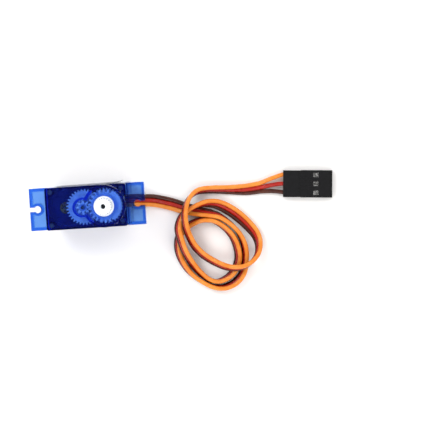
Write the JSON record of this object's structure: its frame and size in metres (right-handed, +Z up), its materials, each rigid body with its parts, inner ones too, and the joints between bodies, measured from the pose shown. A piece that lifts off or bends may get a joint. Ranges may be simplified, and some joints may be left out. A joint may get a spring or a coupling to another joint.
{
  "type": "micro hobby servo motor",
  "caption": "Micro hobby servo: translucent blue case with slotted mounting ears, gear train, splined output shaft and a coiled three-wire lead with a black socket connector.",
  "frame": {"origin": "middle of the case's underside, between the two ear holes, on the surface it stands on", "axes": "+Z up along the output shaft, +X towards the output shaft and the lead, +Y towards the label"},
  "size_m": [0.085, 0.0334, 0.0299],
  "materials": {
    "blue_case": "translucent royal blue, glossy",
    "steel": "plain steel",
    "label_film": "silver-grey printed film without its print",
    "white_nylon": "white nylon, slightly waxy",
    "ferrite": "dark ferrite",
    "lamination_steel": "stacked electrical steel",
    "copper": "copper",
    "brass": "brass or bronze",
    "pot_plastic": "dark moulded plastic",
    "carbon_track": "carbon film",
    "board_green": "green solder mask",
    "black_plastic": "moulded epoxy",
    "tinned_metal": "tin plated",
    "ceramic": "fired ceramic",
    "brown_pvc": "glossy wire insulation",
    "red_pvc": "glossy wire insulation",
    "orange_pvc": "glossy wire insulation",
    "connector_black": "satin black moulding"
  },
  "bodies": {
    "case": {"top_cover": "blue_case", "middle_case": "blue_case", "bottom_cover": "blue_case", "case_screws": "steel", "side_label": "label_film", "motor_can": "steel", "motor_end_cap": "white_nylon", "motor_magnets": "ferrite", "motor_brushes": "copper", "motor_terminals": "brass", "motor_front_bush": "brass", "motor_rear_bush": "brass", "gear_pin": "steel", "pot_housing": "pot_plastic", "pot_track": "carbon_track", "pot_terminals": "brass", "circuit_board": "board_green", "control_chip": "black_plastic", "chip_leads": "tinned_metal", "board_capacitors": "ceramic", "board_resistors": "black_plastic", "motor_leads": "tinned_metal", "pot_leads": "tinned_metal", "brown_wire": "brown_pvc", "red_wire": "red_pvc", "orange_wire": "orange_pvc", "connector_housing": "connector_black", "crimp_terminals": "tinned_metal"},
    "motor_rotor": {"motor_armature": "lamination_steel", "motor_windings": "copper", "motor_commutator": "copper", "motor_shaft": "steel", "motor_pinion": "brass"},
    "first_gear": {"first_gear": "white_nylon"},
    "second_gear": {"second_gear": "white_nylon"},
    "third_gear": {"third_gear": "white_nylon"},
    "output": {"output_gear": "white_nylon", "pot_shaft": "steel", "pot_wiper": "copper"}
  },
  "joints": [
    {"name": "output_turn", "type": "hinge", "parent": "case", "child": "output", "pos_m": [0.00535, 0, 0.024], "axis": [0, 0, 1], "range_deg": [-90, 90]},
    {"name": "third_gear_turn", "type": "hinge", "parent": "case", "child": "third_gear", "pos_m": [-0.00065, 0, 0.021], "axis": [0, 0, 1], "range_deg": [-248, 248]},
    {"name": "second_gear_turn", "type": "hinge", "parent": "case", "child": "second_gear", "pos_m": [0.00535, 0, 0.02], "axis": [0, 0, 1], "range_deg": [-992, 992]},
    {"name": "first_gear_turn", "type": "hinge", "parent": "case", "child": "first_gear", "pos_m": [-0.00065, 0, 0.0185], "axis": [0, 0, 1], "range_deg": [-3966, 3966]},
    {"name": "motor_turn", "type": "hinge", "parent": "case", "child": "motor_rotor", "pos_m": [-0.00615, 0, 0.011], "axis": [0, 0, 1], "range_deg": [-17850, 17850]}
  ],
  "couplings": [
    {"joint": "third_gear_turn", "follows": "output_turn", "ratio": -2.75},
    {"joint": "second_gear_turn", "follows": "output_turn", "ratio": 11},
    {"joint": "first_gear_turn", "follows": "output_turn", "ratio": -44},
    {"joint": "motor_turn", "follows": "output_turn", "ratio": 198}
  ]
}
